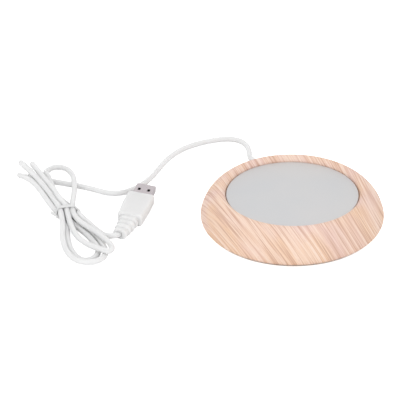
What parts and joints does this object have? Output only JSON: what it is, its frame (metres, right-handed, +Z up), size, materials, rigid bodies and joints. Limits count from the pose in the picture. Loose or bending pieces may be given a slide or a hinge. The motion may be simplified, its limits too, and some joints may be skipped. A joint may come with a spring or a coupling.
{
  "type": "electric mug warmer",
  "caption": "Desk cup warmer: a low turned wooden ring round a heated aluminium plate, with a thin white lead tied in a hank and a USB-A plug.",
  "frame": {"origin": "on the table, under the middle of the ring", "axes": "+Z up, +Y towards the back, where the lead leaves the ring, +X to the right; the plug and the hank lie on the -X side"},
  "size_m": [0.2265, 0.1606, 0.0218],
  "materials": {
    "beech": "fine matt lacquer",
    "plate": "satin anodised",
    "lead_pvc": "satin",
    "shell_steel": "bright nickel",
    "white_plastic": "matt",
    "black_plastic": "matt",
    "contacts": "gold plated",
    "cover_plastic": "fine texture",
    "black_rubber": "matt",
    "silicone": "matt",
    "film": "amber film",
    "solder": "bright",
    "pad_felt": "felted glass fibre",
    "cutout_case": "pressed",
    "red_insulation": "satin",
    "black_insulation": "satin",
    "screw_steel": "zinc plated"
  },
  "bodies": {
    "root": {"wood_ring": "beech", "heating_plate": "plate", "plate_seal": "silicone", "heater_film": "film", "solder_joints": "solder", "insulation_pad": "pad_felt", "thermal_cutout": "cutout_case", "red_wire": "red_insulation", "black_wire": "black_insulation", "link_wire": "red_insulation", "splice_sleeves": "black_insulation", "bottom_cover": "cover_plastic", "cover_screws": "screw_steel", "rubber_feet": "black_rubber", "cable_clamp": "white_plastic", "clamp_screws": "screw_steel", "cord_entry": "lead_pvc", "cord_bush": "lead_pvc", "cord_lead": "lead_pvc", "cord_hank": "lead_pvc", "twist_tie": "white_plastic", "cord_tail": "lead_pvc", "plug_grip": "lead_pvc", "plug_shell": "shell_steel", "plug_tongue": "black_plastic", "plug_contacts": "contacts"}
  },
  "joints": []
}
